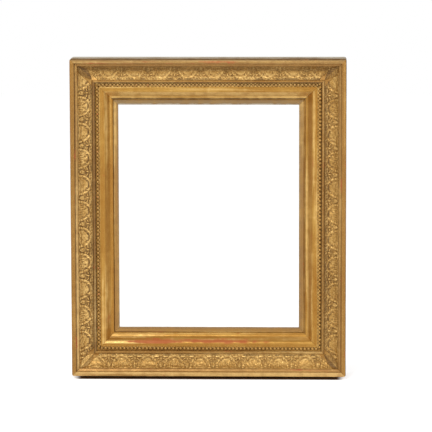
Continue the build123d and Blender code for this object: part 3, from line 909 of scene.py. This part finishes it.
# Painted highlight on each side's bead tops; then wear to bole and dust on them.
bead_bright = {"bottom": 0.15, "right": 0.3, "top": 0.15, "left": 0.0}
bead_wear = {"bottom": 0.25, "right": 0.2, "top": 0.45, "left": 0.5}
bead_dust = {"bottom": 0.1, "right": 0.0, "top": 0.3, "left": 0.1}


def bead_shape(around=10, rings=6):
    """A ball: rings of points between two poles, with the faces that join them."""
    turn = np.linspace(0, 2 * np.pi, around, endpoint=False)
    rise = np.linspace(-np.pi / 2, np.pi / 2, rings + 1)[1:-1, None]
    ring = np.stack((np.cos(rise) * np.cos(turn), np.cos(rise) * np.sin(turn), np.sin(rise) + 0 * turn), -1)
    points = np.vstack((ring.reshape(-1, 3), (0, 0, -1), (0, 0, 1)))
    index = np.arange((rings - 1) * around).reshape(rings - 1, around)
    following = np.roll(index, -1, 1)
    quads = np.stack((index[:-1], following[:-1], following[1:], index[1:]), -1).reshape(-1, 4)
    south, north = len(points) - 2, len(points) - 1
    lower = np.stack((following[0], index[0], np.full(around, south)), -1)
    upper = np.stack((index[-1], following[-1], np.full(around, north)), -1)
    return points, quads, np.vstack((lower, upper))


for side in side_axes:
    bead_line = outer_width + bead_bed_width / 2 + bead_shift[side]
    half_run = side_length[side] / 2 - bead_line - bead_end_gap
    count = round(2 * half_run / bead_pitch)
    pitch = 2 * half_run / count
    rng = np.random.default_rng(side_seed[side])
    middle = (np.arange(count) + 0.5) * pitch - half_run + rng.normal(0, place_spread, count)
    size = bead_radius * (1 + rng.normal(0, size_spread, count))
    sway = bead_line + rng.normal(0, line_spread, count)
    ball, quads, triangles = bead_shape()
    along = middle[:, None] + size[:, None] * ball[:, 0]
    inward = sway[:, None] + size[:, None] * ball[:, 1]
    forward = bead_bed + bead_lift + size[:, None] * ball[:, 2]
    points = on_side(side, along, inward, forward).reshape(-1, 3)
    offset = (np.arange(count) * len(ball))[:, None, None]
    faces = (quads + offset).reshape(-1, 4).tolist() + (triangles + offset).reshape(-1, 3).tolist()
    facing_out = np.broadcast_to(ball[:, 2], along.shape)
    worn_top = np.clip(facing_out, 0, 1)

    thread_angle = np.linspace(np.pi, 0, 7)
    thread_along = np.linspace(-half_run, half_run, count * 2)[:, None] + 0 * thread_angle
    thread_points = on_side(
        side,
        thread_along,
        bead_line + thread_half_width * np.cos(thread_angle) + 0 * thread_along,
        bead_bed - thread_sunk + thread_height * np.sin(thread_angle) + 0 * thread_along,
    )
    # The thread is painted dark as shade in the gaps between the beads.
    plain = {"hollow": 0.8, "dust": 0.0, "wear": 0.0, "leaf_shade": 0.2, "paint": 0.0}
    thread = swept(f"bead_thread_{side}", thread_points, **plain)

    mesh = bpy.data.meshes.new(f"beads_{side}")
    mesh.from_pydata(points.tolist(), [], faces)
    mesh.polygons.foreach_set("use_smooth", np.ones(len(faces), bool))
    # Each bead is painted lighter towards its top as a highlight and darker underneath as shade.
    shades = {
        "hollow": np.clip(0.35 - 0.8 * facing_out, 0, 0.8),
        "dust": bead_dust[side] * worn_top,
        "wear": bead_wear[side] * worn_top * (0.5 + 0.5 * rng.random(count)[:, None]),
        "leaf_shade": np.clip(0.2 + bead_bright[side] * facing_out, 0, 1),
        "paint": 0.0,
    }
    give_values(mesh, along.shape, shades)
    beads = bpy.data.objects.new(f"beads_{side}", mesh)
    bpy.context.scene.collection.objects.link(beads)
    for piece in (beads, thread):
        piece.data.materials.append(composition_gilding)
        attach(piece, "frame")
    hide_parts(f"bead_string_{side}")

# Nails: cut iron nails with square heads, driven from behind through the boards. Eight hold the halved
# corners and twenty hold the mouldings; all are brown with old rust.
dark_iron, brown_rust = colour(46, 40, 36), colour(92, 58, 36)
rust_scale = 300.0
iron = Finish("rusty_iron")
rust = iron.noise(rust_scale, 5.0)
nail_iron = iron.finish(
    Base_Color=iron.mix(iron.span(rust, 0.4, 0.65), dark_iron, brown_rust),
    Metallic=iron.span(rust, 0.4, 0.65, 0.7, 0.1),
    Roughness=iron.span(rust, 0.3, 0.7, 0.5, 0.85),
    Normal=iron.bump(rust, 0.3, 0.0004),
)
for name in ("moulding_nails", "lap_nails"):
    coat(nodes[name], nail_iron)

# Turn buttons, their screws, the screw eye and the ring: cast and bent brass, gone dull and brown except
# where it is handled. Each button turns on its screw, and the ring swings in the eye.
handled_brass, brown_brass = colour(186, 148, 82), colour(112, 82, 42)
tarnish_scale, scratch_scale = 90.0, 260.0
brass = Finish("old_brass")
tarnish = brass.noise(tarnish_scale, 4.0)
scratches = brass.noise(scratch_scale, 3.0, (1, 1, 6))
old_brass = brass.finish(
    Base_Color=brass.mix(brass.span(tarnish, 0.35, 0.65), handled_brass, brown_brass),
    Metallic=1.0,
    Roughness=brass.span(tarnish, 0.3, 0.7, 0.28, 0.5),
    Normal=brass.bump(scratches, 0.12, 0.0002),
)
hardware = ["turn_button_screws", "screw_eye", "hanging_ring"]
hardware += [f"turn_button_{level}_{side}" for level in ("upper", "lower") for side in ("left", "right")]
for name in hardware:
    coat(nodes[name], old_brass)

# Stage: a plain white floor that keeps the shadow, white surroundings and two large soft lamps.
# The floor dips a little in front of the frame and is painted brown as shadow under it, so a dark line shows
# under its lower arris.
bpy.context.scene.view_settings.view_transform = "Standard"
half_floor = 6.0
floor_dip = 0.0062
floor_gap = 0.0004
dip_from, dip_to = 0.024, -0.022
shade_front, shade_back, shade_side = (-0.029, -0.02), (0.02, 0.028), (0.255, 0.27)
floor_white, floor_shadow_brown = colour(245, 245, 245), colour(120, 84, 44)
floor_glow = 0.56
room_light, room_shown = 0.45, 1.0
floor_mesh = bpy.data.meshes.new("floor")
floor_profile = (
    (-half_floor, -floor_dip),
    (dip_to, -floor_dip),
    (dip_from, -floor_gap),
    (half_floor, -floor_gap),
)
floor_points = [(x, y, z) for y, z in floor_profile for x in (-half_floor, half_floor)]
floor_mesh.from_pydata(floor_points, [], [(0, 1, 3, 2), (2, 3, 5, 4), (4, 5, 7, 6)])
floor = bpy.data.objects.new("floor", floor_mesh)
bpy.context.scene.collection.objects.link(floor)
paper = Finish("white_floor")
rays = paper.node("ShaderNodeLightPath").outputs
seen = paper.math("MAXIMUM", rays["Is Camera Ray"], rays["Is Glossy Ray"])
seen = paper.math("MAXIMUM", seen, rays["Is Transmission Ray"])
# Under the frame the floor gets no glow and a brown tint, a painted shadow.
spot = paper.node("ShaderNodeSeparateXYZ", Vector=paper.place()).outputs
behind_front = paper.span(spot["Y"], *shade_front)
before_back = paper.span(spot["Y"], *shade_back, 1, 0)
sideways = paper.span(paper.math("ABSOLUTE", spot["X"], 0.0), *shade_side, 1, 0)
covered = paper.math("MULTIPLY", paper.math("MULTIPLY", behind_front, before_back), sideways)
seen = paper.math("MULTIPLY", seen, paper.math("SUBTRACT", 1.0, covered))
floor_mesh.materials.append(
    paper.finish(
        Base_Color=paper.mix(covered, floor_white, floor_shadow_brown),
        Roughness=0.9,
        Emission_Color=(1, 1, 1, 1),
        Emission_Strength=paper.math("MULTIPLY", seen, floor_glow),
    )
)

world = bpy.data.worlds.new("white_room")
bpy.context.scene.world = world
world.use_nodes = True
sky = world.node_tree
background = sky.nodes["Background"]
background.inputs["Color"].default_value = (1, 1, 1, 1)
path = sky.nodes.new("ShaderNodeLightPath")
shown = path.outputs["Is Camera Ray"]
for ray in ("Is Transmission Ray", "Is Glossy Ray"):
    larger = sky.nodes.new("ShaderNodeMath")
    larger.operation = "MAXIMUM"
    sky.links.new(shown, larger.inputs[0])
    sky.links.new(path.outputs[ray], larger.inputs[1])
    shown = larger.outputs[0]
level = sky.nodes.new("ShaderNodeMapRange")
sky.links.new(shown, level.inputs["Value"])
level.inputs["To Min"].default_value = room_light
level.inputs["To Max"].default_value = room_shown
sky.links.new(level.outputs["Result"], background.inputs["Strength"])


def soft_lamp(name, place, size, power):
    """A square lamp turned to the middle of the frame."""
    lamp = bpy.data.lights.new(name, "AREA")
    lamp.size = size
    lamp.energy = power
    obj = bpy.data.objects.new(name, lamp)
    bpy.context.scene.collection.objects.link(obj)
    obj.location = place
    aim = (Vector((0, 0, frame_height * MM / 2)) - obj.location).to_track_quat("-Z", "Y")
    obj.rotation_euler = aim.to_euler()


soft_lamp("key_lamp", place=(-0.9, -1.9, 2.3), size=1.4, power=38)
soft_lamp("fill_lamp", place=(1.4, -2.4, 1.2), size=1.6, power=14)

# Camera: a long lens a little to the right of the frame and above its middle, turned by a trace so that
# the frame's sides run as they do in the photograph.
camera_azimuth = 1.92
camera_elevation = 7.6
camera_distance = 6.0
camera_roll = -0.139
picture_width = 0.8595
aim_right, aim_up = 0.0146, 0.0023
aim_point = Vector((aim_right, 0, frame_height * MM / 2 + aim_up))
camera_data = bpy.data.cameras.new("camera")
camera_data.sensor_width = 36
camera_data.lens = camera_data.sensor_width * camera_distance / picture_width
camera = bpy.data.objects.new("camera", camera_data)
bpy.context.scene.collection.objects.link(camera)
azimuth, elevation = math.radians(camera_azimuth), math.radians(camera_elevation)
towards = Vector(
    (math.sin(azimuth) * math.cos(elevation), -math.cos(azimuth) * math.cos(elevation), math.sin(elevation))
)
camera.location = aim_point + towards * camera_distance
facing = (-towards).to_track_quat("-Z", "Y")
facing.rotate(Quaternion(towards, math.radians(camera_roll)))
camera.rotation_euler = facing.to_euler()
bpy.context.scene.camera = camera
